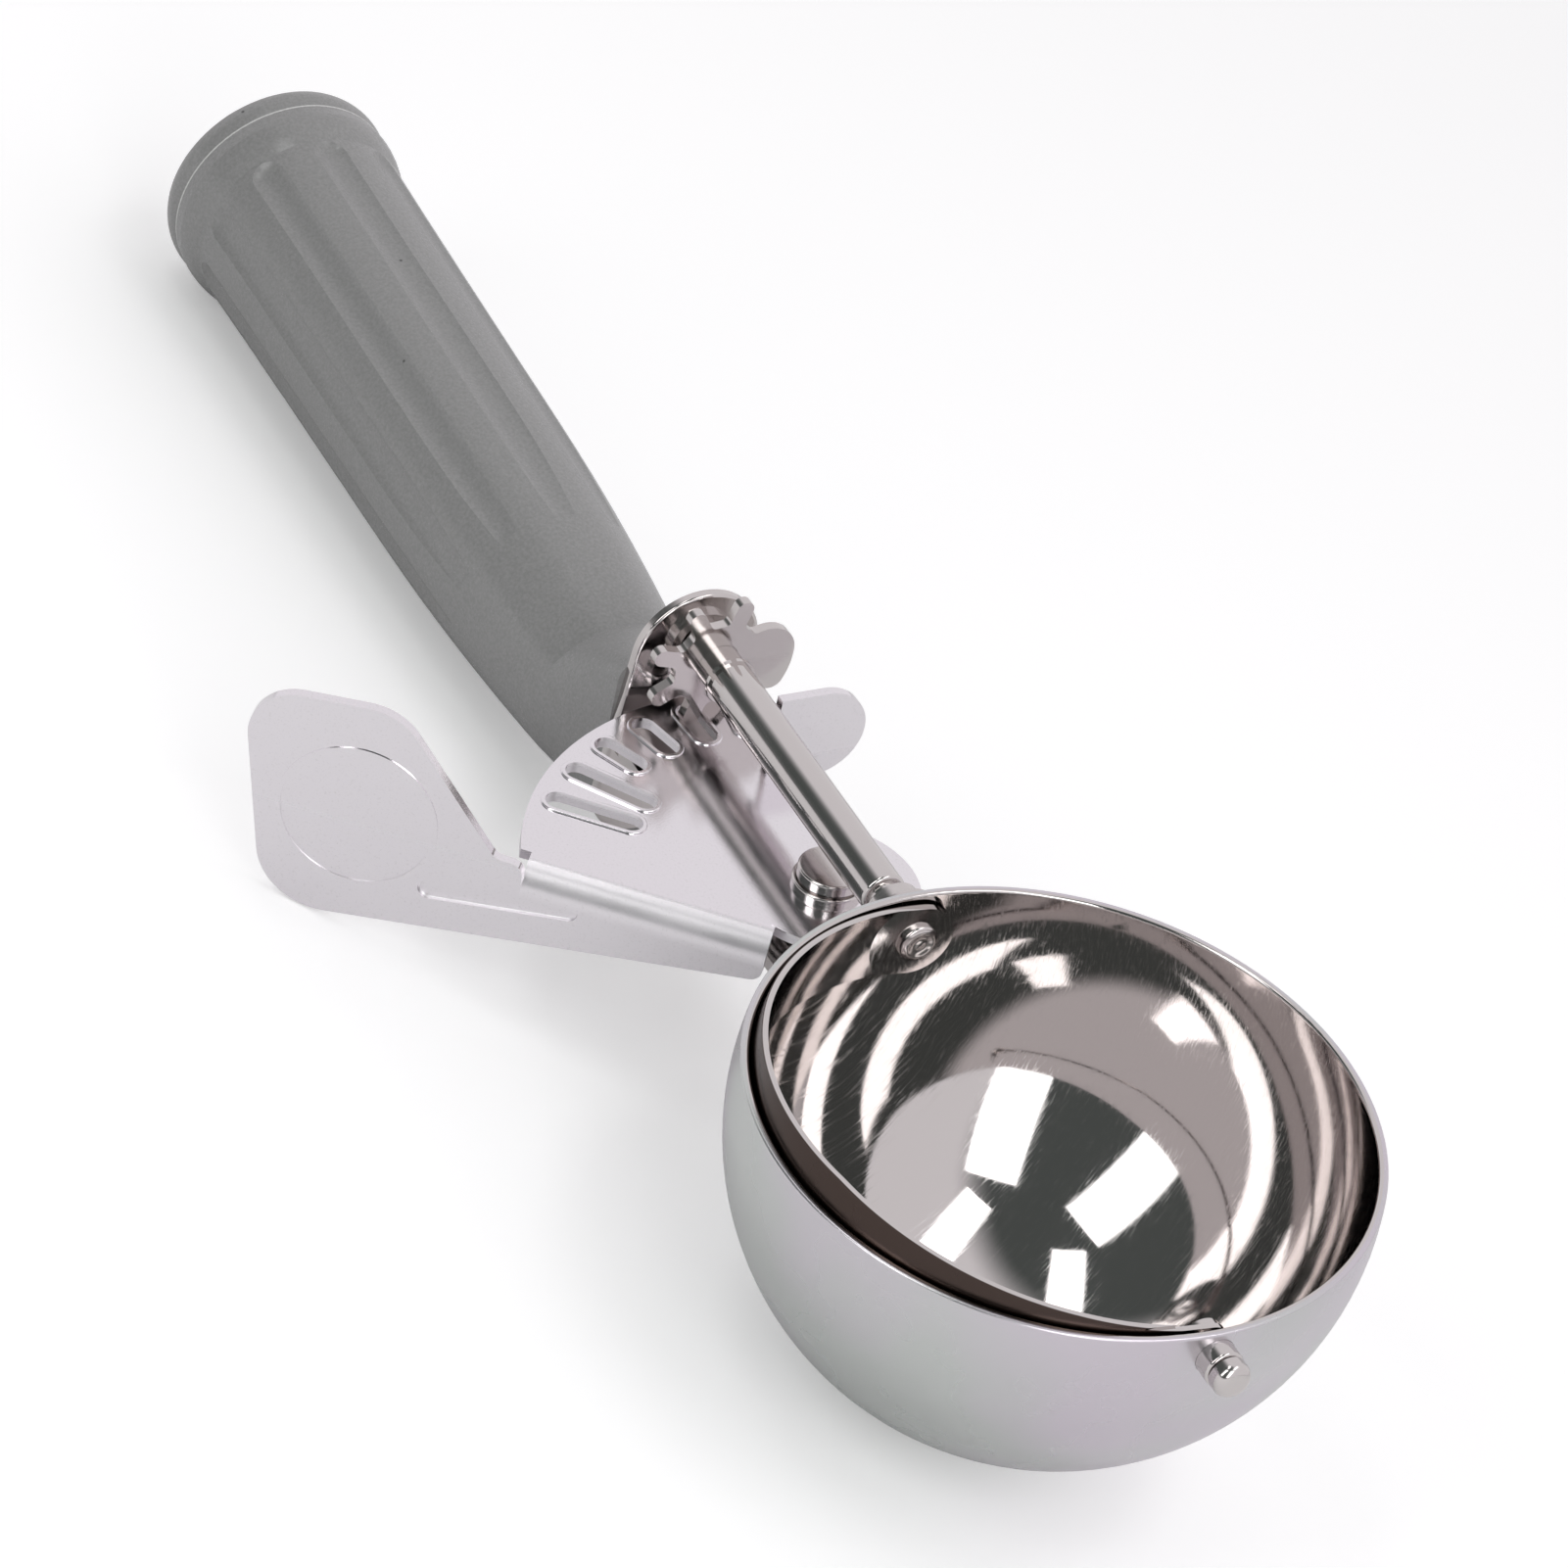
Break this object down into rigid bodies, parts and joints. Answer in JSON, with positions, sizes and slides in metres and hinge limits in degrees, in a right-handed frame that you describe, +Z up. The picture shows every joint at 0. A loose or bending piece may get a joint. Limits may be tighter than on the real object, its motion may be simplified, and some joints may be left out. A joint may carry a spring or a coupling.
{
  "type": "ice cream scoop",
  "caption": "Spring-return ice cream scoop: round bowl with a geared sweeping scraper blade, a slotted thumb lever and a fluted plastic handle.",
  "frame": {"origin": "on the table, under the middle of the scoop's bounding box", "axes": "+X along the handle towards the bowl, +Z up from the table; the bowl's mouth opens upwards and leans 15.9 degrees towards -Y, where the thumb pad touches the table"},
  "size_m": [0.2446, 0.0908, 0.0477],
  "materials": {
    "bowl_steel": "satin outside, polished inside",
    "sheet_steel": "polished",
    "lever_steel": "mirror polished",
    "blade_steel": "polished",
    "shaft_steel": "mirror polished",
    "turned_steel": "turned",
    "spring_wire": "drawn wire",
    "grip_plastic": "fine grain"
  },
  "bodies": {
    "frame": {"bowl": "bowl_steel", "front_bush": "turned_steel", "rear_bush": "turned_steel", "frame_strap": "sheet_steel", "end_plate": "sheet_steel", "end_plate_bush": "turned_steel", "lever_rivet": "turned_steel", "rivet_washer": "turned_steel", "rivet_spacer": "turned_steel", "return_spring": "spring_wire", "handle_tang": "sheet_steel", "tang_pins": "turned_steel", "handle_grip": "grip_plastic", "handle_cap": "grip_plastic"},
    "lever": {"thumb_lever": "lever_steel", "lever_bush": "turned_steel"},
    "scraper": {"scraper_shaft": "shaft_steel", "pinion_hub": "turned_steel", "pinion": "lever_steel", "scraper_blade": "blade_steel", "eye_rivet": "turned_steel", "front_pivot_pin": "turned_steel"}
  },
  "joints": [
    {"name": "lever_press", "type": "hinge", "parent": "frame", "child": "lever", "pos_m": [0.03172, 0.01232, 0.02694], "axis": [0.0226, 0.2736, -0.9616], "range_deg": [0, 45], "stiffness_Nm_per_rad": 0.4, "springref_deg": -28.65, "deforming": ["return_spring"]},
    {"name": "scraper_turn", "type": "hinge", "parent": "frame", "child": "scraper", "pos_m": [0.08274, 0.01037, 0.035], "axis": [0.9997, 0, 0.0235], "range_deg": [0, 180]}
  ],
  "couplings": [
    {"joint": "scraper_turn", "follows": "lever_press", "ratio": 4}
  ]
}
